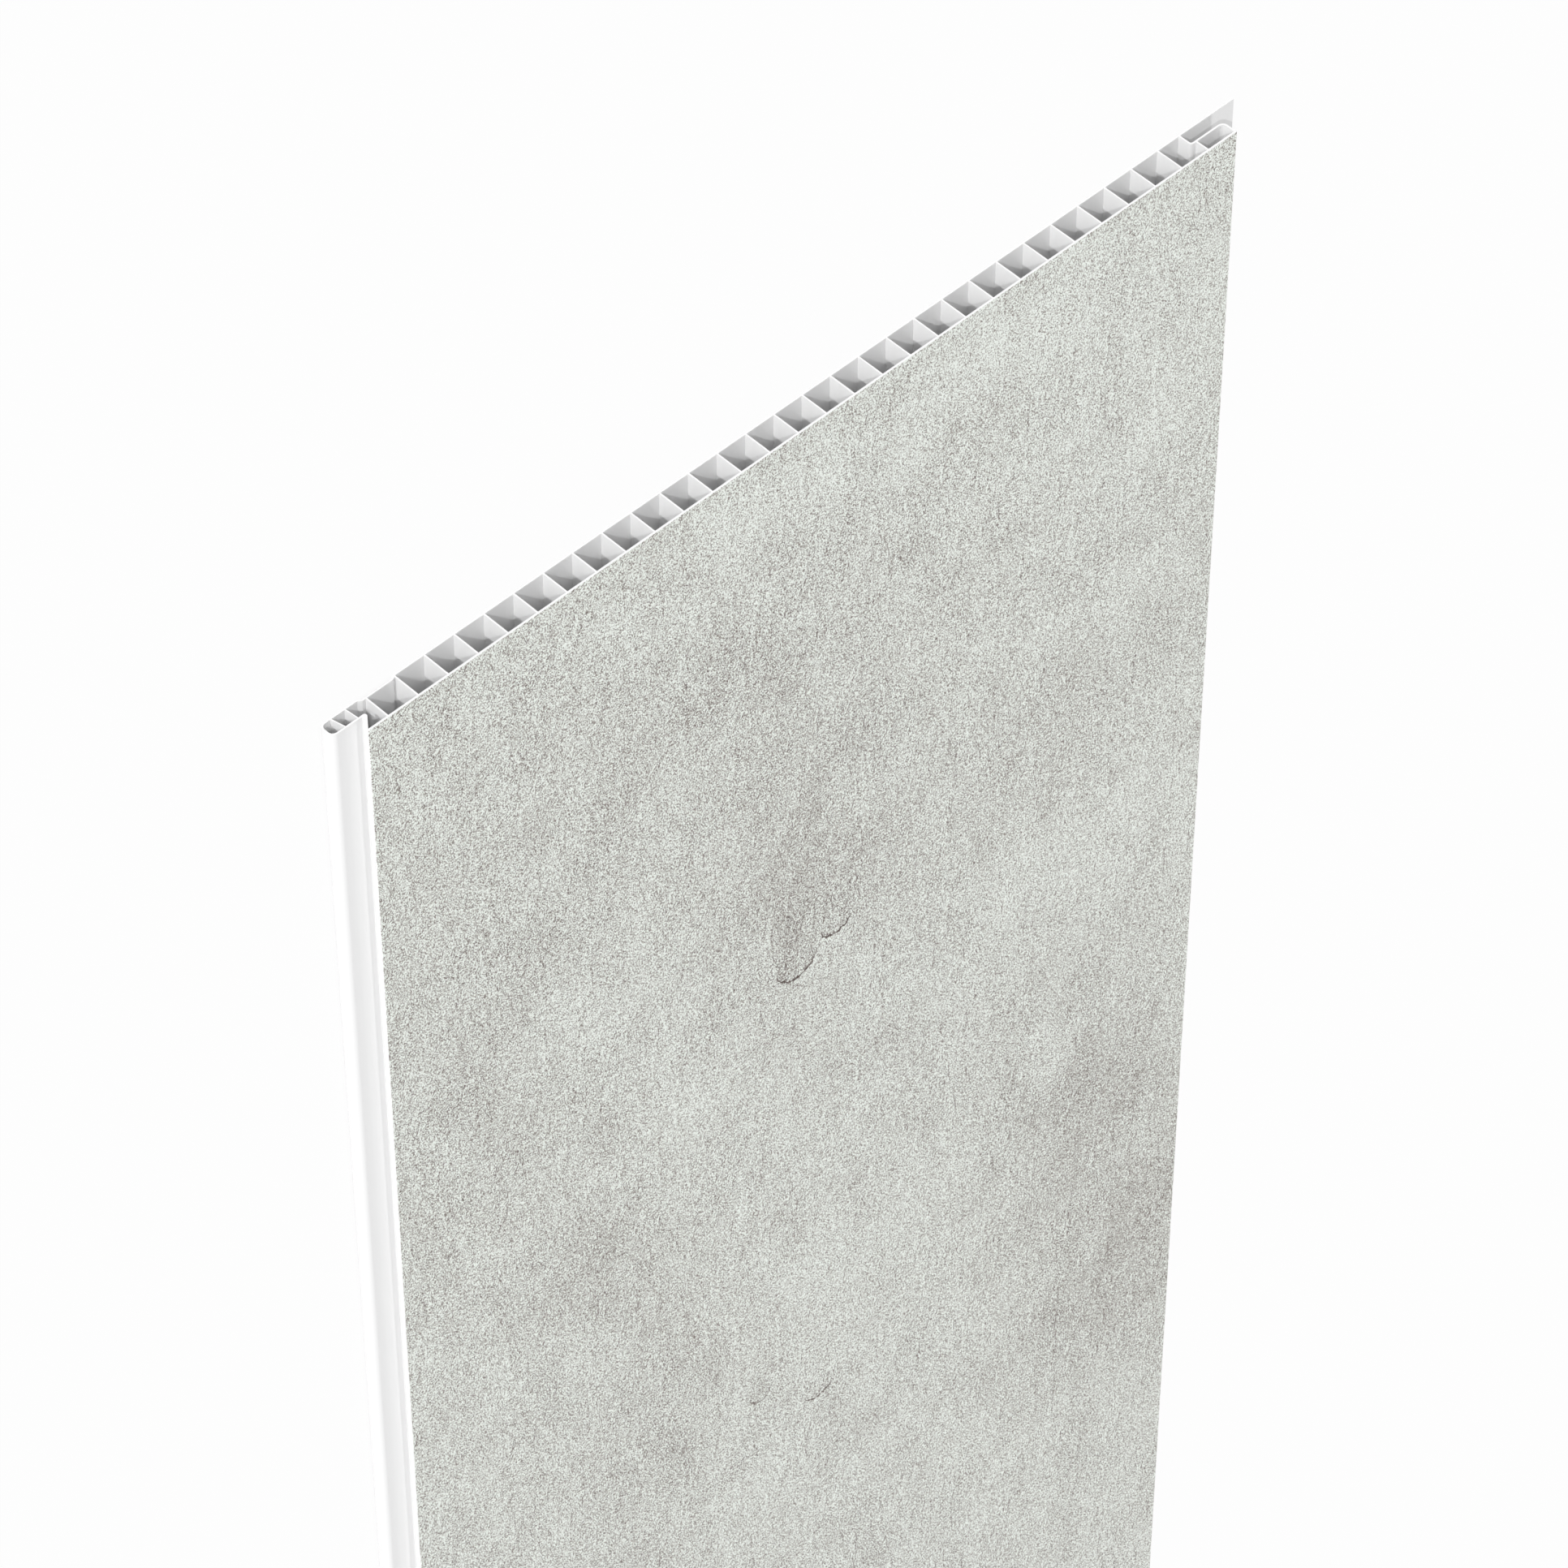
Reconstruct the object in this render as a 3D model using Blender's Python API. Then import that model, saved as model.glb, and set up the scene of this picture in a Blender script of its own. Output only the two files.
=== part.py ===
"""Hollow extruded PVC wall panel, lying flat with its printed face up.

One closed solid: a single cross section, with its cells, drawn in the X-Z plane and extruded along Y.
Across the width, a position called `across` starts at the face's edge on the tongue side and grows
towards the back lip. Heights start at the back face. Lengths are in metres.
"""

import math

import bmesh
import bpy
from mathutils import Vector

LENGTH = 2.65
FACE_WIDTH = 0.250
THICKNESS = 0.008
FACE_SKIN = 0.0005
BACK_SKIN = 0.00042
EDGE_RADIUS = 0.00015

# Ribs that join the two skins. The last one stands on the groove's floor.
RIB_COUNT = 30
RIB = 0.0004
FIRST_RIB_INSET = 0.00554

# Tongue: a rounded hollow tube along one edge of the back skin.
TONGUE_REACH = 0.00645
TONGUE_THICKNESS = 0.00426
TONGUE_WALL = 0.00042
TONGUE_TIP_RADIUS = 0.0016
TONGUE_RIB = 0.0003
OUTER_RIB_OUTBOARD = 0.00336
OUTER_RIB_LEAN = 0.00078
INNER_RIB_INBOARD = 0.00045
INNER_RIB_LEAN = 0.00036

# Undercut side wall that climbs from the tongue out to the face's edge.
FACE_EDGE_HEIGHT = 0.00062
SIDE_WALL = 0.00035
ROOT_INSET = 0.00153
ROOT_HEIGHT = 0.00061
POCKET_INSET = 0.00169
POCKET_HEIGHT = 0.00101
HOOK_RADIUS = 0.00055

# Recess across the back that receives the next panel's lip.
RECESS_INSET = 0.00366
RECESS_ENTRY_RAMP = 0.0009
RECESS_EXIT_RAMP = 0.0012
RECESS_DEPTH = 0.00066
RIBS_IN_RECESS = 2

# Groove and back lip along the other edge.
GROOVE_DEPTH = 0.00977
GROOVE_GAP = 0.00328
GROOVE_WALL = 0.00045
GROOVE_CORNER_RADIUS = 0.0005
GROOVE_MOUTH_RADIUS = 0.0015
LAST_RIB_OFFSET = 0.00126
LIP_REACH = 0.00683

ARC_STEPS_PER_TURN = 40
CREASE_ANGLE = math.radians(30)

FACE_INSIDE = THICKNESS - FACE_SKIN
TONGUE_INSIDE = TONGUE_THICKNESS - TONGUE_WALL
RECESS_INSIDE = RECESS_DEPTH + BACK_SKIN
GROOVE_WALL_FACE = FACE_WIDTH - GROOVE_DEPTH
GROOVE_FLOOR = BACK_SKIN + GROOVE_GAP
GROOVE_FLOOR_INSIDE = GROOVE_FLOOR + GROOVE_WALL
SIDE_TOP = THICKNESS - FACE_EDGE_HEIGHT
POCKET_LEVEL = TONGUE_THICKNESS + POCKET_HEIGHT
SIDE_SLOPE = POCKET_INSET / (SIDE_TOP - POCKET_LEVEL)
LAST_RIB = GROOVE_WALL_FACE + LAST_RIB_OFFSET
RIB_PITCH = (LAST_RIB - FIRST_RIB_INSET) / (RIB_COUNT - 1)
MIDDLE = (FACE_WIDTH + LIP_REACH - TONGUE_REACH) / 2

PANEL_WHITE = (0.86, 0.86, 0.85, 1.0)
PANEL_ROUGHNESS = 0.45


def clear_scene():
    for item in list(bpy.data.objects):
        bpy.data.objects.remove(item, do_unlink=True)


def rounded(corners):
    """Turns corners given as (across, height, radius) into a loop, each radius drawn as an arc."""
    loop = []
    for place, (across, height, radius) in enumerate(corners):
        corner = Vector((across, height))
        if radius == 0:
            loop.append(corner)
            continue
        before = (Vector(corners[place - 1][:2]) - corner).normalized()
        after = (Vector(corners[(place + 1) % len(corners)][:2]) - corner).normalized()
        opening = before.angle(after)
        centre = corner + (before + after).normalized() * (radius / math.sin(opening / 2))
        start = corner + before * (radius / math.tan(opening / 2)) - centre
        turn = (math.pi - opening) * (1 if before.cross(after) < 0 else -1)
        steps = max(2, math.ceil(abs(turn) / math.tau * ARC_STEPS_PER_TURN))
        for step in range(steps + 1):
            angle = turn * step / steps
            cosine, sine = math.cos(angle), math.sin(angle)
            loop.append(centre + Vector((start.x * cosine - start.y * sine, start.x * sine + start.y * cosine)))
    return loop


def rib_middle(number):
    return FIRST_RIB_INSET + number * RIB_PITCH


def rib_sides(number):
    """The two faces of a rib that joins the skins, counted from 0 at the tongue."""
    return rib_middle(number) - RIB / 2, rib_middle(number) + RIB / 2


def tongue_ribs():
    """The tongue's leaning ribs: each one's middle at the back skin and at the tongue's front wall."""
    outer = (-OUTER_RIB_OUTBOARD, -OUTER_RIB_OUTBOARD + OUTER_RIB_LEAN)
    inner = (INNER_RIB_INBOARD, INNER_RIB_INBOARD + INNER_RIB_LEAN)
    return outer, inner


def outer_outline():
    """The panel's outside, from the tongue's tip along the back, round the groove and over the face."""
    recess_end = rib_sides(RIBS_IN_RECESS - 1)[1]
    return rounded([
        (-TONGUE_REACH, 0, TONGUE_TIP_RADIUS),
        (RECESS_INSET, 0, 0),
        (RECESS_INSET + RECESS_ENTRY_RAMP, RECESS_DEPTH, 0),
        (recess_end - RECESS_EXIT_RAMP, RECESS_DEPTH, 0),
        (recess_end, 0, 0),
        (FACE_WIDTH + LIP_REACH, 0, 0),
        (FACE_WIDTH + LIP_REACH, BACK_SKIN, 0),
        (GROOVE_WALL_FACE, BACK_SKIN, 0),
        (GROOVE_WALL_FACE, GROOVE_FLOOR, GROOVE_CORNER_RADIUS),
        (FACE_WIDTH, GROOVE_FLOOR, GROOVE_MOUTH_RADIUS),
        (FACE_WIDTH, THICKNESS, EDGE_RADIUS),
        (0, THICKNESS, EDGE_RADIUS),
        (0, SIDE_TOP, 0),
        (POCKET_INSET, POCKET_LEVEL, 0),
        (ROOT_INSET, TONGUE_THICKNESS + ROOT_HEIGHT, 0),
        (ROOT_INSET, TONGUE_THICKNESS, 0),
        (-TONGUE_REACH, TONGUE_THICKNESS, TONGUE_TIP_RADIUS),
    ])


def tongue_cells():
    """The two closed cells in the tongue."""
    outer, inner = tongue_ribs()
    half = TONGUE_RIB / 2
    tip = TONGUE_WALL - TONGUE_REACH
    tip_radius = TONGUE_TIP_RADIUS - TONGUE_WALL
    end_cell = rounded([
        (tip, BACK_SKIN, tip_radius),
        (outer[0] - half, BACK_SKIN, 0),
        (outer[1] - half, TONGUE_INSIDE, 0),
        (tip, TONGUE_INSIDE, tip_radius),
    ])
    middle_cell = rounded([
        (outer[0] + half, BACK_SKIN, 0),
        (inner[0] - half, BACK_SKIN, 0),
        (inner[1] - half, TONGUE_INSIDE, 0),
        (outer[1] + half, TONGUE_INSIDE, 0),
    ])
    return [end_cell, middle_cell]


def hook_cell():
    """The cell between the tongue and the first rib, bounded by the undercut side wall."""
    inner = tongue_ribs()[1]
    half = TONGUE_RIB / 2
    sideways = SIDE_WALL * math.hypot(1, SIDE_SLOPE)

    def side_inside(height):
        return sideways + (SIDE_TOP - height) * SIDE_SLOPE

    first_rib = rib_sides(0)[0]
    return rounded([
        (inner[0] + half, BACK_SKIN, 0),
        (RECESS_INSET, BACK_SKIN, 0),
        (RECESS_INSET + RECESS_ENTRY_RAMP, RECESS_INSIDE, 0),
        (first_rib, RECESS_INSIDE, 0),
        (first_rib, FACE_INSIDE, 0),
        (side_inside(FACE_INSIDE), FACE_INSIDE, 0),
        (side_inside(TONGUE_INSIDE), TONGUE_INSIDE, HOOK_RADIUS),
        (inner[1] + half, TONGUE_INSIDE, 0),
    ])


def plain_cells():
    """The cells between ribs that reach both skins: rectangles, but for the ramp where the recess ends."""
    cells = []
    for number in range(RIB_COUNT - 2):
        low = RECESS_INSIDE if number < RIBS_IN_RECESS - 1 else BACK_SKIN
        left, right = rib_sides(number)[1], rib_sides(number + 1)[0]
        floor = [(left, low, 0), (right, low, 0)]
        if number == RIBS_IN_RECESS - 2:
            drop = RECESS_DEPTH * (1 - RIB / RECESS_EXIT_RAMP)
            floor = [(left, low, 0), (right + RIB - RECESS_EXIT_RAMP, low, 0), (right, low - drop, 0)]
        cells.append(rounded(floor + [(right, FACE_INSIDE, 0), (left, FACE_INSIDE, 0)]))
    return cells


def groove_cells():
    """The stepped cell behind the groove's wall and the low cell in front of the groove."""
    wall_inside = GROOVE_WALL_FACE - GROOVE_WALL
    last_full_rib = rib_sides(RIB_COUNT - 2)[1]
    left, right = rib_sides(RIB_COUNT - 1)
    edge = FACE_WIDTH - GROOVE_WALL
    stepped = rounded([
        (last_full_rib, BACK_SKIN, 0),
        (wall_inside, BACK_SKIN, 0),
        (wall_inside, GROOVE_FLOOR_INSIDE, GROOVE_CORNER_RADIUS + GROOVE_WALL),
        (left, GROOVE_FLOOR_INSIDE, 0),
        (left, FACE_INSIDE, 0),
        (last_full_rib, FACE_INSIDE, 0),
    ])
    low = rounded([
        (right, GROOVE_FLOOR_INSIDE, 0),
        (edge, GROOVE_FLOOR_INSIDE, GROOVE_MOUTH_RADIUS - GROOVE_WALL),
        (edge, FACE_INSIDE, 0),
        (right, FACE_INSIDE, 0),
    ])
    return [stepped, low]


def extrude(loops, mesh):
    """Fills the outline less its cells at one end and extrudes the fill along the length."""
    build = bmesh.new()
    for loop in loops:
        ring = [build.verts.new((MIDDLE - p.x, -LENGTH / 2, p.y)) for p in loop]
        for place in range(len(ring)):
            build.edges.new((ring[place - 1], ring[place]))
    fill = bmesh.ops.triangle_fill(build, use_beauty=True, edges=build.edges[:])
    end = [item for item in fill["geom"] if isinstance(item, bmesh.types.BMFace)]
    far = bmesh.ops.extrude_face_region(build, geom=end, use_keep_orig=True)["geom"]
    far_verts = [item for item in far if isinstance(item, bmesh.types.BMVert)]
    bmesh.ops.translate(build, verts=far_verts, vec=(0, LENGTH, 0))
    bmesh.ops.recalc_face_normals(build, faces=build.faces)
    build.to_mesh(mesh)
    build.free()


def panel_material():
    material = bpy.data.materials.new("panel_pvc")
    material.use_nodes = True
    shader = material.node_tree.nodes["Principled BSDF"]
    shader.inputs["Base Color"].default_value = PANEL_WHITE
    shader.inputs["Roughness"].default_value = PANEL_ROUGHNESS
    return material


def wall_panel():
    loops = [outer_outline(), *tongue_cells(), hook_cell(), *plain_cells(), *groove_cells()]
    mesh = bpy.data.meshes.new("wall_panel")
    extrude(loops, mesh)
    mesh.materials.append(panel_material())
    mesh.shade_smooth()
    mesh.set_sharp_from_angle(angle=CREASE_ANGLE)
    panel = bpy.data.objects.new("wall_panel", mesh)
    bpy.context.scene.collection.objects.link(panel)


clear_scene()
wall_panel()
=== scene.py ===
"""Looks of a hollow PVC wall panel that lies on its back with its printed concrete face up.

X runs across the panel, from the fixing lip at -X to the tongue at +X, Y along it and Z through its
thickness. Every pattern is worked out from Object coordinates, so it sits still on the panel.
"""
import math
from typing import NamedTuple

import bpy
import numpy as np
from mathutils import Matrix, Vector


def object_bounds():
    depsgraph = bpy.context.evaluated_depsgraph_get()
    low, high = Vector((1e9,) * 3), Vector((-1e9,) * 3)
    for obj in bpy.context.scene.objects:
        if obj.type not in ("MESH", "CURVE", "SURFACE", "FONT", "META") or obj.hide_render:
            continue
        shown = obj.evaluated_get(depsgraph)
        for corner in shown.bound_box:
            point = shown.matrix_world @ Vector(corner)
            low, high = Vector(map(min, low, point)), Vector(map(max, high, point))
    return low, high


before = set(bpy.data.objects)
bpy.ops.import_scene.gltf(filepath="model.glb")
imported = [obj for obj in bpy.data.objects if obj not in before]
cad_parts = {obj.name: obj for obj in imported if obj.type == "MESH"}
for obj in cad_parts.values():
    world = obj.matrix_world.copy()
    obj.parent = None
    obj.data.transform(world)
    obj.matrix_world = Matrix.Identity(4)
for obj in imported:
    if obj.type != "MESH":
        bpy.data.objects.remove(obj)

bl_info = {
    "name": "PVC wall panel finish",
    "version": (1, 0, 0),
    "blender": (4, 5, 0),
    "location": "3D Viewport > Sidebar > Wall panel",
    "description": "Prints and finishes a hollow PVC wall panel and sets its studio",
    "category": "Material",
}

CAD_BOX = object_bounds()
PANEL_NODE = "wall_panel"
MILLIMETRE = 0.001
LEVEL_SLACK = 0.01 * MILLIMETRE      # corners this near the full height belong to the face


def face_corner(node):
    """Corner of the flat printed face that lies farthest along X and Y.

    The face's corners are those that lie at the panel's full height.
    """
    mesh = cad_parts[node].data
    corners = np.empty(len(mesh.vertices) * 3)
    mesh.vertices.foreach_get("co", corners)
    corners = corners.reshape(-1, 3)
    on_face = corners[:, 2] > corners[:, 2].max() - LEVEL_SLACK
    return Vector(corners[on_face].max(axis=0))


FACE_EDGE, _, FACE_HEIGHT = face_corner(PANEL_NODE)

# Where each finish ends, in millimetres: depth under the face and distance from a sawn end.
PRINT_DEPTH = 0.06
BARE_FROM = 0.09
SAWN_DEPTH = 0.02
EXTRUDED_FROM = 0.04

# The four tones of the print that have a colour of their own, and the full scale.
DARKEST_TONE = 60
DARK_TONE = 130
MIDDLE_TONE = 190
PALE_TONE = 250
FULL_TONE = 255

# The print's patterns. Lengths are in millimetres, across and along.
PRINT_LEAD = 60                # print before the cut end, where no mark lies across the repeat
CLOUD_BEND = (26, 38, 0)       # how far noise pushes the outlines of the patches
MARK_BEND = (1.8, 1.8, 0)      # how far it pushes the outlines of the spots and flakes
ZONE_LEVEL = 1.05              # mean contrast of the patterns
ZONE_SWING = 1.2               # change of that contrast from a smooth zone to a coarse one
GRAIN_ZONES = 0.35             # share of that change that the grains of sand follow
GRAIN_LENGTH = 1.35            # in grain widths
GRAIN_MEAN = 2 / 3             # mean of the square root of a number from 0 to 1
SKIN_STEP = 0.45               # width of the edge of a thin skin
SKIN_STARTS = 0.07             # noise where a skin starts
SKIN_WHOLE = 0.12              # noise where it is whole

# A flaked edge. A blur is in millimetres, a fall is per millimetre and the line's per square one.
SHADE_BLUR = 0.1
SHADE_ENDS = 0.35              # height of the arc, as a share, over which the shade sets in at its ends
LINE_FALL = 12
LINE_DEPTH = 8                 # in tones of the flake
LINE_ENDS = 0.2
RIM_TONE = 8
RIM_FALL = 0.5
RIM_BLUR = 0.3
RIM_ENDS = 0.5

NOISE_MEAN = 0.5
PVC_IOR = 1.5
RELIEF_DEPTH = 0.05 * MILLIMETRE
LENGTHWISE = 900               # millimetres over which a mark that runs along the panel changes

WHITE = (1, 1, 1, 1)
FLOOR_GREY = (0.8, 0.8, 0.8, 1)
FLOOR_GLOW = 0.94              # share of plain white in the floor; the rest takes the shadow
FLOOR_STEPS = 8
LAMP_DISTANCE = 3              # metres, which only moves a lamp's symbol in the viewport
SENSOR_WIDTH = 36              # millimetres
NEAREST_SEEN = 0.05            # metres from the camera


class Marking(NamedTuple):
    """How a fine pattern shows on plastic."""
    shade: float               # share of the colour that is left where the pattern is darkest
    gloss: float               # change of roughness over the pattern
    relief: float              # strength of its relief


FILM_GRAIN = Marking(shade=1, gloss=0.12, relief=0.12)
DIE_LINES = Marking(shade=0.97, gloss=0.12, relief=0.1)
SAW_MARKS = Marking(shade=0.94, gloss=0.2, relief=0.25)


class Patch(NamedTuple):
    """A soft mark in the print, in millimetres from the face's tongue edge and from the cut end."""
    across: float
    along: float
    half_width: float
    half_length: float
    tone: float


class Flake(NamedTuple):
    """A scalloped edge where the skin of the concrete has come away, in millimetres."""
    across: float
    lowest: float
    half_width: float
    sag: float
    fade: float
    tone: float


# The print's marks, listed one by one: large pale and dark patches, small spots, and flaked edges.
PATCHES = (
    Patch(110, 15, 30, 15, 18),
    Patch(190, 15, 45, 20, 20),
    Patch(240, 60, 35, 30, 16),
    Patch(100, 65, 45, 25, -14),
    Patch(55, 85, 12, 30, -8),
    Patch(25, 140, 25, 55, -12),
    Patch(120, 130, 25, 35, -22),
    Patch(55, 138, 18, 15, 12),
    Patch(180, 155, 50, 25, -8),
    Patch(80, 195, 15, 20, 12),
    Patch(220, 205, 50, 18, 12),
    Patch(60, 220, 18, 22, -20),
    Patch(190, 250, 30, 15, -7),
    Patch(140, 300, 30, 30, 8),
    Patch(75, 300, 22, 65, -12),
    Patch(215, 305, 25, 30, -26),
    Patch(105, 350, 18, 28, 8),
    Patch(230, 375, 30, 40, -30),
    Patch(50, 430, 25, 40, 8),
    Patch(95, 500, 30, 40, -15),
    Patch(190, 530, 35, 30, 14),
)
SPOTS = (
    Patch(50, 20, 4, 4, -12),
    Patch(87, 22, 3, 6, -14),
    Patch(187, 66, 3, 3, 14),
    Patch(150, 68, 8, 5, 14),
    Patch(228, 75, 5, 6, 12),
    Patch(200, 117, 6, 5, 18),
    Patch(220, 121, 8, 5, 12),
    Patch(205, 135, 6, 7, -12),
    Patch(117, 160, 4, 6, -14),
    Patch(150, 173, 3, 5, -10),
    Patch(178, 176, 3, 5, -14),
    Patch(59, 180, 2.5, 10, -14),
    Patch(139, 185, 3, 3, 14),
    Patch(236, 221, 3, 6, -12),
    Patch(195, 240, 4, 5, -14),
    Patch(100, 243, 7, 3, 14),
    Patch(209, 252, 2.5, 10, -16),
    Patch(172, 252, 2.5, 8, -12),
    Patch(203, 278, 7, 5, 12),
    Patch(92, 298, 2.5, 4, -12),
    Patch(235, 312, 4, 8, -14),
    Patch(176, 326, 3, 5, 12),
    Patch(130, 327, 4, 4, 12),
    Patch(137, 338, 3, 3, -14),
    Patch(131, 346, 1.5, 7, -16),
    Patch(225, 360, 5, 5, 10),
    Patch(127, 369, 4, 5, -12),
    Patch(157, 385, 2.5, 4, -18),
    Patch(159, 431, 4, 5, 14),
)
FLAKES = (
    Flake(118.7, 174.5, 6.2, 6.2, 13.0, 30),
    Flake(131.0, 168.6, 4.6, 3.2, 6.0, 28),
    Flake(107.0, 321.4, 3.7, 5.0, 6.0, 16),
    Flake(126.0, 336.8, 4.5, 3.2, 9.0, 20),
    Flake(63.0, 470.0, 4.6, 4.0, 8.0, 12),
    Flake(204.0, 552.0, 5.2, 4.4, 9.0, 12),
)


class PanelPrint(bpy.types.PropertyGroup):
    """The concrete print on the face."""
    darkest: bpy.props.FloatVectorProperty(
        name="Darkest grains", description=f"Colour of the print where its tone is {DARKEST_TONE}",
        subtype="COLOR", default=(0.07, 0.04, 0.033))
    dark: bpy.props.FloatVectorProperty(
        name="Dark grains", description=f"Colour of the print where its tone is {DARK_TONE}",
        subtype="COLOR", default=(0.254, 0.215, 0.193))
    middle: bpy.props.FloatVectorProperty(
        name="Middle tone", description=f"Colour of the print where its tone is {MIDDLE_TONE}",
        subtype="COLOR", default=(0.53, 0.515, 0.48))
    pale: bpy.props.FloatVectorProperty(
        name="Pale grains", description=f"Colour of the print where its tone is {PALE_TONE}",
        subtype="COLOR", default=(0.93, 0.973, 0.925))
    tone: bpy.props.FloatProperty(
        name="Tone", description=f"Level of the print's tone, on a scale from 0 to {FULL_TONE}",
        default=209.5)
    grain_size: bpy.props.FloatProperty(
        name="Grain size", description="Width of one grain of sand",
        unit="LENGTH", precision=5, default=0.00018)
    grain: bpy.props.FloatProperty(
        name="Grain", description="How far apart the tones of the grains are", default=262)
    mottling: bpy.props.FloatProperty(
        name="Mottling", description="How far apart the tones of the mottling are", default=60)
    streaks: bpy.props.FloatProperty(
        name="Streaks", description="How far apart the tones of the trowel streaks are", default=8)
    chips: bpy.props.FloatProperty(
        name="Chips", description="How far the edges of thin skins differ from the tone around them",
        default=34)
    repeat: bpy.props.FloatProperty(
        name="Repeat", description="Length after which the print's marks come again",
        unit="LENGTH", default=0.66)
    roughness: bpy.props.FloatProperty(
        name="Roughness", description="Roughness of the printed face",
        subtype="FACTOR", default=0.58, min=0, max=1)


class PanelPlastic(bpy.types.PropertyGroup):
    """The bare white PVC of the section, the tongue and the lip."""
    colour: bpy.props.FloatVectorProperty(
        name="PVC", description="Colour of the plastic", subtype="COLOR", default=(0.87, 0.87, 0.87))
    cut_colour: bpy.props.FloatVectorProperty(
        name="Cut PVC", description="Colour of the sawn ends",
        subtype="COLOR", default=(0.93, 0.93, 0.93))
    roughness: bpy.props.FloatProperty(
        name="Roughness", description="Roughness of the extruded surfaces",
        subtype="FACTOR", default=0.32, min=0, max=1)
    cut_roughness: bpy.props.FloatProperty(
        name="Cut roughness", description="Roughness of the sawn ends",
        subtype="FACTOR", default=0.6, min=0, max=1)
    die_line: bpy.props.FloatProperty(
        name="Die line pitch", description="Distance between the faint lines that the die leaves",
        unit="LENGTH", precision=5, default=0.0009)


class PanelStage(bpy.types.PropertyGroup):
    """Camera, lamps and floor."""
    azimuth: bpy.props.FloatProperty(
        name="Azimuth", description="Turn of the camera from a view along +Y",
        subtype="ANGLE", default=math.radians(31.4882))
    elevation: bpy.props.FloatProperty(
        name="Elevation", description="Height of the camera above the horizon",
        subtype="ANGLE", default=math.radians(28.6013))
    roll: bpy.props.FloatProperty(
        name="Roll", description="Turn of the picture that brings the cut end to its top",
        subtype="ANGLE", default=math.radians(-127.9465))
    aim: bpy.props.FloatVectorProperty(
        name="Aim", description="Point of the face in the middle of the picture",
        subtype="TRANSLATION", default=(0.010287, -1.219119, FACE_HEIGHT))
    distance: bpy.props.FloatProperty(
        name="Distance", description="From the camera to the point it aims at",
        unit="LENGTH", default=1.640536)
    lens: bpy.props.FloatProperty(
        name="Lens", description=f"Focal length in millimetres on a {SENSOR_WIDTH} mm wide picture",
        default=173.3693)
    side: bpy.props.FloatProperty(
        name="Side light", description="Strength of the level light that reaches into the cells",
        default=1.2)
    front: bpy.props.FloatProperty(
        name="Front light", description="Strength of the light that slants down into the cells",
        default=0.9)
    top: bpy.props.FloatProperty(
        name="Top light", description="Strength of the light from overhead", default=0.55)
    fill: bpy.props.FloatProperty(
        name="Fill light", description="Strength of the light from beside the camera", default=0.3)
    sky: bpy.props.FloatProperty(
        name="Sky", description="Strength of the even light from all round", default=0.54)
    floor_width: bpy.props.FloatProperty(
        name="Floor", description="Side of the square floor", unit="LENGTH", default=24.0)


class Value:
    """A shader socket. An expression on values adds the Math nodes that work it out."""

    def __init__(self, finish, socket):
        self.finish = finish
        self.socket = socket

    def maths(self, operation, *inputs):
        """The Math node of that operation on these inputs."""
        return self.finish.node("ShaderNodeMath", {"operation": operation}, dict(enumerate(inputs)))

    def __add__(self, other):
        return self.maths("ADD", self, other)

    def __sub__(self, other):
        return self.maths("SUBTRACT", self, other)

    def __rsub__(self, other):
        return self.maths("SUBTRACT", other, self)

    def __mul__(self, other):
        return self.maths("MULTIPLY", self, other)

    def __pow__(self, other):
        return self.maths("POWER", self, other)

    def __neg__(self):
        return self.maths("MULTIPLY", self, -1)

    __radd__ = __add__
    __rmul__ = __mul__

    def at_least(self, low):
        """The value, or low where it is under low."""
        return self.maths("MAXIMUM", self, low)

    def exp(self):
        """e to the power of the value."""
        return self.maths("EXPONENT", self)

    def wrap(self, period):
        """The value less whole periods, from 0 to the period."""
        return self.maths("FLOORED_MODULO", self, period)

    def rise(self, low, high):
        """0 below low, 1 above high and a smooth step between them."""
        return self.finish.node("ShaderNodeMapRange", {"interpolation_type": "SMOOTHSTEP"}, {
            "Value": self, "From Min": low, "From Max": high, "To Min": 0, "To Max": 1})


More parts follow.
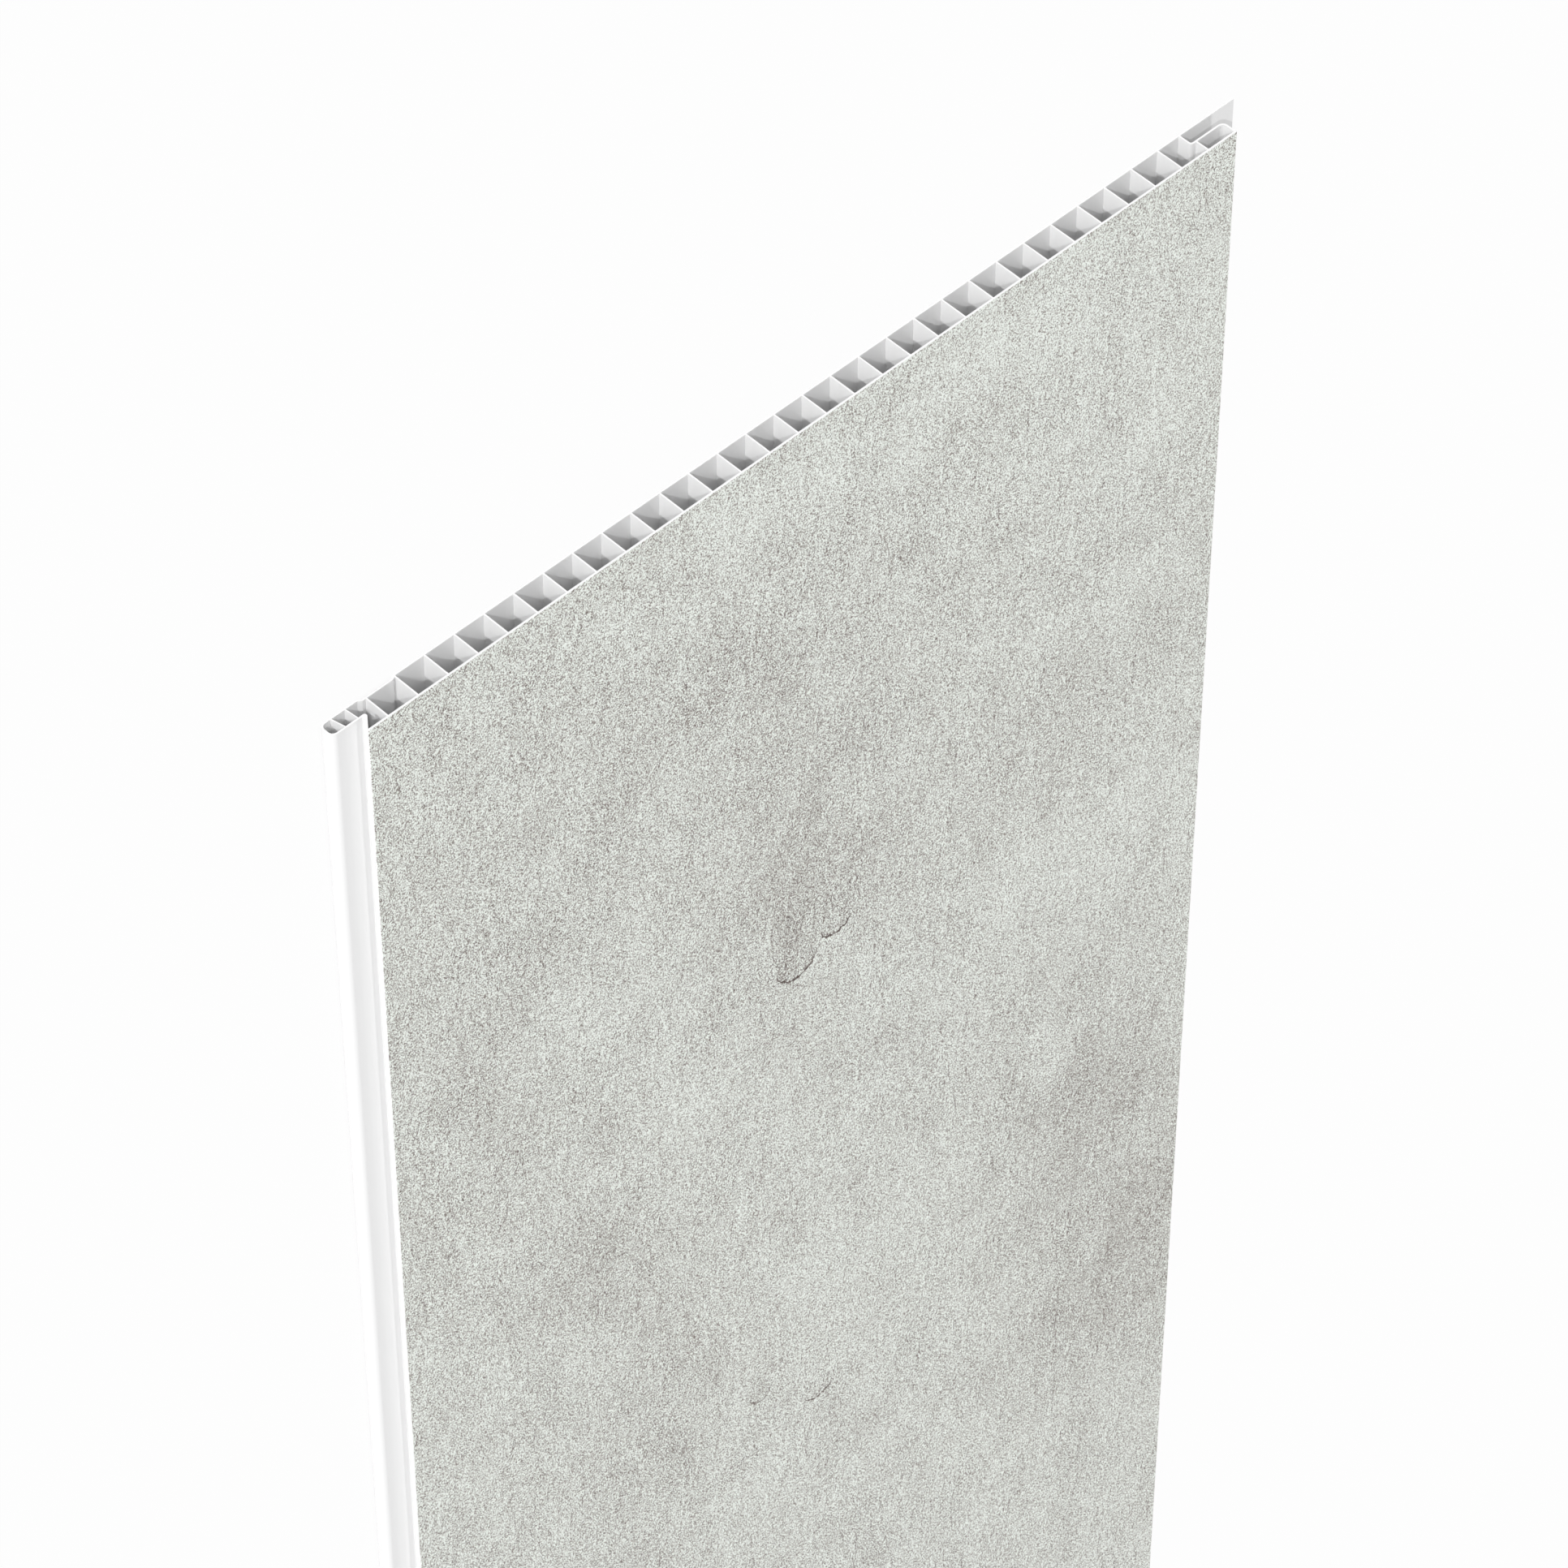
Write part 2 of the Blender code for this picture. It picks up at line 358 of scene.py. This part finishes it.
class Finish:
    """The nodes of a material or a world, built up from values."""

    def __init__(self, owner):
        owner.use_nodes = True
        self.owner = owner
        self.tree = owner.node_tree
        self.tree.nodes.clear()

    def node(self, kind, settings, inputs, output=0):
        """A new node: its settings first, then its sockets, and the value of one of its outputs."""
        made = self.tree.nodes.new(kind)
        for name, value in settings.items():
            if name == "stops":
                self.set_stops(made.color_ramp.elements, value)
            else:
                setattr(made, name, value)
        for socket, value in inputs.items():
            if isinstance(value, Value):
                self.tree.links.new(value.socket, made.inputs[socket])
            else:
                made.inputs[socket].default_value = value
        if output is None:
            return None
        return Value(self, made.outputs[output])

    @staticmethod
    def set_stops(elements, stops):
        """Gives a colour ramp these (position, colour) stops, in rising order."""
        for element, (position, _) in zip(elements, (stops[0], stops[-1])):
            element.position = position
        for position, _ in stops[1:-1]:
            elements.new(position)
        for element, (_, colour) in zip(elements, stops):
            element.color = (*colour, 1)

    def vector(self, operation, *inputs):
        """The Vector Math node of that operation on these inputs."""
        return self.node("ShaderNodeVectorMath", {"operation": operation}, dict(enumerate(inputs)))

    def parts(self, vector):
        """The three numbers of a vector."""
        split = self.node("ShaderNodeSeparateXYZ", {}, {0: vector})
        return tuple(Value(self, socket) for socket in split.socket.node.outputs)

    def noise(self, place, size, detail=0.0, roughness=0.5, shift=(0, 0, 0), output="Fac"):
        """Noise that varies over size along each axis, in millimetres, from about -0.5 to 0.5.

        Two sizes give a pattern that is the same at every height.
        """
        scale = [1 / step for step in size] + [0] * (3 - len(size))
        scaled = self.vector("MULTIPLY_ADD", place, scale, shift)
        inputs = {"Vector": scaled, "Scale": 1, "Detail": detail, "Roughness": roughness}
        found = self.node("ShaderNodeTexNoise", {"noise_dimensions": f"{len(size)}D"}, inputs, output)
        if output == "Fac":
            return found - NOISE_MEAN
        return self.vector("SUBTRACT", found, [NOISE_MEAN] * 3)

    def cells(self, place, size):
        """Irregular cells of that size across and along, each with its own value from 0 to 1."""
        scaled = self.vector("MULTIPLY", place, (1 / size[0], 1 / size[1], 0))
        found = self.node("ShaderNodeTexVoronoi", {"voronoi_dimensions": "2D"},
                          {"Vector": scaled, "Scale": 1}, "Color")
        return self.parts(found)[0]

    def mix(self, factor, low, high):
        """The colour low where factor is 0 and high where it is 1.

        A Mix node takes its colours in sockets 6 and 7 and gives the mixed one out by socket 2.
        """
        return self.node("ShaderNodeMix", {"data_type": "RGBA"}, {0: factor, 6: low, 7: high}, 2)

    def plastic(self, colour, roughness, pattern, marking):
        """PVC of that colour and roughness, with a fine pattern in its gloss and its relief."""
        bump = self.node("ShaderNodeBump", {}, {
            "Strength": marking.relief, "Distance": RELIEF_DEPTH, "Height": pattern})
        return self.node("ShaderNodeBsdfPrincipled", {}, {
            "Base Color": colour, "Roughness": pattern * marking.gloss + roughness,
            "Normal": bump, "IOR": PVC_IOR})

    def plain_plastic(self, colour, roughness, pattern, marking):
        """The same in one colour, a little darker where the pattern is low."""
        dark = [marking.shade * part for part in colour]
        shaded = self.mix(pattern + NOISE_MEAN, (*dark, 1), (*colour, 1))
        return self.plastic(shaded, roughness, pattern, marking)

    def blend(self, factor, low, high):
        """The surface low where factor is 0 and high where it is 1."""
        return self.node("ShaderNodeMixShader", {}, {0: factor, 1: low, 2: high})

    def output(self, shader, kind="ShaderNodeOutputMaterial"):
        """Makes a shader the surface of the material or world."""
        self.node(kind, {}, {"Surface": shader}, None)


def panel_place(finish):
    """Millimetres across from the face's tongue edge, along from the cut end and up from the back."""
    object_place = finish.node("ShaderNodeTexCoord", {}, {}, "Object")
    scale = (-1 / MILLIMETRE, 1 / MILLIMETRE, 1 / MILLIMETRE)
    start = (FACE_EDGE / MILLIMETRE, -CAD_BOX[0].y / MILLIMETRE, 0)
    return finish.vector("MULTIPLY_ADD", object_place, scale, start)


def soft_marks(across, along, marks):
    """Soft marks, added up.

    Each one is its tone times e to the power of minus the squared distance, in half sizes.
    """
    tone = 0
    for mark in marks:
        x = (across - mark.across) * (1 / mark.half_width)
        y = (along - mark.along) * (1 / mark.half_length)
        tone = tone + (-(x * x + y * y)).exp() * mark.tone
    return tone


def flake(across, along, mark):
    """Tone of a flaked edge.

    The edge is an arc that sags to its lowest point: its height is the sag times the square root of
    one minus the squared share of the half width. The tone is darkest in a fine line at the edge and
    fades away above it, and a pale rim lies just below.
    """
    share = (across - mark.across) * (1 / mark.half_width)
    arc = (1 - share * share).at_least(0) ** 0.5
    above = arc * mark.sag + (mark.lowest - mark.sag) - along
    inside = above.rise(-SHADE_BLUR, SHADE_BLUR) * arc.rise(0, SHADE_ENDS)
    shade = (above.at_least(0) * (-1 / mark.fade)).exp() * inside
    line = (-(above * above) * LINE_FALL).exp() * arc.rise(0, LINE_ENDS)
    below = (1 - above.rise(-RIM_BLUR, 0)) * arc.rise(0, RIM_ENDS)
    rim = ((-above).at_least(0) * -RIM_FALL).exp() * below
    return rim * RIM_TONE - shade * mark.tone - line * (LINE_DEPTH * mark.tone)


def chips(finish, place):
    """Edges of thin skins of cement, from -1 along their dark side to 1 along their pale one."""
    skins = []
    for step in (SKIN_STEP, 0):
        moved = finish.vector("ADD", place, (step, step / 2, 0))
        skin = finish.noise(moved, (3.5, 9), detail=3, roughness=0.6, shift=(9, 4, 0))
        skins.append(skin.rise(SKIN_STARTS, SKIN_WHOLE))
    return skins[0] - skins[1]


def concrete_tone(finish, place, look):
    """Tone of the print, from 0 to FULL_TONE.

    It is built up from large patches, mottling, trowel streaks, grains of sand, chipped skins, spots
    and flakes. The patches, spots and flakes come again after each repeat, and the rest never does.
    """
    period = look.repeat / MILLIMETRE

    def repeated(along):
        """Place within one repeat of the print."""
        return (along + PRINT_LEAD).wrap(period) - PRINT_LEAD

    bend = finish.noise(place, (18, 26), detail=2, roughness=0.6, shift=(7, 3, 0), output="Color")
    bent_across, bent_along, _ = finish.parts(finish.vector("MULTIPLY_ADD", bend, CLOUD_BEND, place))
    tone = look.tone + soft_marks(bent_across, repeated(bent_along), PATCHES)
    coarseness = finish.noise(place, (22, 36), detail=2, roughness=0.6, shift=(8, 2, 0))
    zones = coarseness * ZONE_SWING + ZONE_LEVEL
    mottling = finish.noise(place, (15, 23), detail=4, roughness=0.74, shift=(4, 1, 0)) * look.mottling
    streaks = finish.noise(place, (1.1, 9), detail=1, shift=(5, 5, 0)) * look.streaks
    tone = tone + (mottling + streaks) * zones
    grain_size = look.grain_size / MILLIMETRE
    grains = finish.cells(place, (grain_size, GRAIN_LENGTH * grain_size)) ** 0.5 - GRAIN_MEAN
    tone = tone + grains * (zones * GRAIN_ZONES + (1 - GRAIN_ZONES)) * look.grain
    tone = tone + chips(finish, place) * zones * look.chips
    ragged = finish.noise(place, (1.5, 1.5), detail=2, roughness=0.6, shift=(3, 11, 0), output="Color")
    mark_across, mark_along, _ = finish.parts(finish.vector("MULTIPLY_ADD", ragged, MARK_BEND, place))
    mark_along = repeated(mark_along)
    tone = tone + soft_marks(mark_across, mark_along, SPOTS)
    for mark in FLAKES:
        tone = tone + flake(mark_across, mark_along, mark)
    return tone


def print_surface(finish, place, look):
    """The printed film, from brownish dark grains to slightly greenish pale ones."""
    tone = concrete_tone(finish, place, look)
    stops = [
        (DARKEST_TONE / FULL_TONE, look.darkest),
        (DARK_TONE / FULL_TONE, look.dark),
        (MIDDLE_TONE / FULL_TONE, look.middle),
        (PALE_TONE / FULL_TONE, look.pale),
    ]
    colour = finish.node("ShaderNodeValToRGB", {"stops": stops}, {"Fac": tone * (1 / FULL_TONE)})
    grain = finish.noise(place, (0.9, 1.3), detail=1, shift=(3, 8, 0))
    return finish.plastic(colour, look.roughness, grain, FILM_GRAIN)


def bare_surface(finish, place, plastic):
    """Satin PVC with the faint lines that the die leaves along the extrusion."""
    pitch = plastic.die_line / MILLIMETRE
    lines = finish.noise(place, (pitch, LENGTHWISE, pitch), detail=2, roughness=0.7, shift=(2, 2, 2))
    return finish.plain_plastic(plastic.colour, plastic.roughness, lines, DIE_LINES)


def sawn_surface(finish, place, plastic):
    """The sawn ends: duller, with fine saw marks across the thin walls."""
    marks = finish.noise(place, (5, LENGTHWISE, 0.35), detail=2, roughness=0.7, shift=(6, 1, 1))
    return finish.plain_plastic(plastic.cut_colour, plastic.cut_roughness, marks, SAW_MARKS)


def panel_finish(look, plastic):
    """The panel's material: print on the face, satin PVC elsewhere and duller, sawn ends."""
    finish = Finish(bpy.data.materials.new("printed_pvc"))
    place = panel_place(finish)
    _, along, height = finish.parts(place)
    length = (CAD_BOX[1].y - CAD_BOX[0].y) / MILLIMETRE
    face_height = FACE_HEIGHT / MILLIMETRE
    printed = height.rise(face_height - BARE_FROM, face_height - PRINT_DEPTH)
    past_near_end = along.rise(SAWN_DEPTH, EXTRUDED_FROM)
    before_far_end = (length - along).rise(SAWN_DEPTH, EXTRUDED_FROM)
    bare = bare_surface(finish, place, plastic)
    extruded = finish.blend(printed, bare, print_surface(finish, place, look))
    sawn = 1 - past_near_end * before_far_end
    finish.output(finish.blend(sawn, extruded, sawn_surface(finish, place, plastic)))
    return finish.owner


def flat_grid(name, width, steps):
    """A square sheet on the floor: point (u, v) lies at width times (u - 1/2, v - 1/2, 0)."""
    share = np.linspace(-0.5, 0.5, steps + 1) * width
    x, y = np.meshgrid(share, share)
    points = np.stack([x, y, np.zeros_like(x)], axis=-1).reshape(-1, 3)
    first = (np.arange(steps)[:, None] * (steps + 1) + np.arange(steps)).ravel()
    faces = np.stack([first, first + 1, first + steps + 2, first + steps + 1], axis=-1)
    mesh = bpy.data.meshes.new(name)
    mesh.from_pydata(points.tolist(), [], faces.tolist())
    made = bpy.data.objects.new(name, mesh)
    bpy.context.scene.collection.objects.link(made)
    return made


def floor_finish():
    """White where the camera, a reflection or a clear piece shows it, but darkened by the shadow."""
    finish = Finish(bpy.data.materials.new("studio_floor"))
    seen = finish.node("ShaderNodeLightPath", {}, {}, "Is Camera Ray")
    glossy = finish.node("ShaderNodeLightPath", {}, {}, "Is Glossy Ray")
    clear = finish.node("ShaderNodeLightPath", {}, {}, "Is Transmission Ray")
    share = seen.at_least(glossy.at_least(clear)) * FLOOR_GLOW
    matt = finish.node("ShaderNodeBsdfDiffuse", {}, {"Color": FLOOR_GREY})
    glow = finish.node("ShaderNodeEmission", {}, {"Color": WHITE, "Strength": 1})
    finish.output(finish.blend(share, matt, glow))
    return finish.owner


def sky_finish(strength):
    """Even light from all round, which shows as plain white behind the panel."""
    finish = Finish(bpy.data.worlds.new("studio_sky"))
    seen = finish.node("ShaderNodeLightPath", {}, {}, "Is Camera Ray")
    light = finish.node("ShaderNodeBackground", {}, {"Color": WHITE, "Strength": strength})
    white = finish.node("ShaderNodeBackground", {}, {"Color": WHITE, "Strength": 1})
    finish.output(finish.blend(seen, light, white), "ShaderNodeOutputWorld")
    return finish.owner


def sun(name, travel, strength, spread):
    """A far lamp whose light travels along a direction, with a spread in degrees for soft shadows."""
    lamp = bpy.data.lights.new(name, "SUN")
    lamp.energy = strength
    lamp.angle = math.radians(spread)
    made = bpy.data.objects.new(name, lamp)
    made.rotation_mode = "QUATERNION"
    made.rotation_quaternion = Vector(travel).to_track_quat("-Z", "Y")
    made.location = -LAMP_DISTANCE * Vector(travel).normalized()
    bpy.context.scene.collection.objects.link(made)


def camera_turn(azimuth, elevation, roll):
    """Camera axes: it looks forward along azimuth and down by elevation, then turns about its view."""
    forward = Vector((-math.sin(azimuth) * math.cos(elevation),
                      math.cos(azimuth) * math.cos(elevation), -math.sin(elevation)))
    level = Vector((math.cos(azimuth), math.sin(azimuth), 0))
    upright = level.cross(forward)
    up = upright * math.cos(roll) + level * math.sin(roll)
    right = forward.cross(up)
    return Matrix((right, up, -forward)).transposed(), forward


class MATERIAL_OT_finish_wall_panel(bpy.types.Operator):
    """Print the concrete on the panel's face and finish its bare PVC."""
    bl_idname = "material.finish_wall_panel"
    bl_label = "Finish the panel"

    def execute(self, context):
        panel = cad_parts[PANEL_NODE]
        if not panel.material_slots:
            raise RuntimeError("the panel has no material slot to finish")
        material = panel_finish(context.scene.panel_print, context.scene.panel_plastic)
        for slot in panel.material_slots:
            slot.material = material
        return {"FINISHED"}


class SCENE_OT_stage_wall_panel(bpy.types.Operator):
    """Lay the floor, hang the lamps and set the camera."""
    bl_idname = "scene.stage_wall_panel"
    bl_label = "Set the stage"

    def execute(self, context):
        scene = context.scene
        stage = scene.panel_stage
        floor = flat_grid("floor", stage.floor_width, FLOOR_STEPS)
        floor.data.materials.append(floor_finish())
        scene.world = sky_finish(stage.sky)
        sun("side_light", travel=(-1, 0.79, -0.006), strength=stage.side, spread=0.15)
        sun("front_light", travel=(-1, 1, -0.95), strength=stage.front, spread=0.2)
        sun("top_light", travel=(0, 0.02, -1), strength=stage.top, spread=8)
        sun("fill_light", travel=(-0.46, 0.74, -0.48), strength=stage.fill, spread=4)
        camera = bpy.data.objects.new("camera", bpy.data.cameras.new("camera"))
        camera.data.lens = stage.lens
        camera.data.sensor_width = SENSOR_WIDTH
        camera.data.clip_start = NEAREST_SEEN
        turn, forward = camera_turn(stage.azimuth, stage.elevation, stage.roll)
        place = Vector(stage.aim) - forward * stage.distance
        camera.matrix_world = Matrix.Translation(place) @ turn.to_4x4()
        scene.collection.objects.link(camera)
        scene.camera = camera
        scene.view_settings.view_transform = "Standard"
        return {"FINISHED"}


class VIEW3D_PT_wall_panel(bpy.types.Panel):
    """Lists the steps that dress the panel and their settings."""
    bl_label = "Wall panel"
    bl_space_type = "VIEW_3D"
    bl_region_type = "UI"
    bl_category = "Wall panel"

    def draw(self, context):
        for operator in OPERATORS:
            self.layout.operator(operator.bl_idname)
        for group in GROUPS:
            settings = getattr(context.scene, group)
            for name in settings.__annotations__:
                self.layout.prop(settings, name)


GROUPS = {"panel_print": PanelPrint, "panel_plastic": PanelPlastic, "panel_stage": PanelStage}
OPERATORS = (MATERIAL_OT_finish_wall_panel, SCENE_OT_stage_wall_panel)
CLASSES = (*GROUPS.values(), *OPERATORS, VIEW3D_PT_wall_panel)


def register():
    for cls in CLASSES:
        bpy.utils.register_class(cls)
    for name, group in GROUPS.items():
        setattr(bpy.types.Scene, name, bpy.props.PointerProperty(type=group))


def unregister():
    for name in GROUPS:
        delattr(bpy.types.Scene, name)
    for cls in reversed(CLASSES):
        bpy.utils.unregister_class(cls)


def main():
    register()
    bpy.ops.material.finish_wall_panel()
    bpy.ops.scene.stage_wall_panel()


if __name__ == "__main__":
    main()
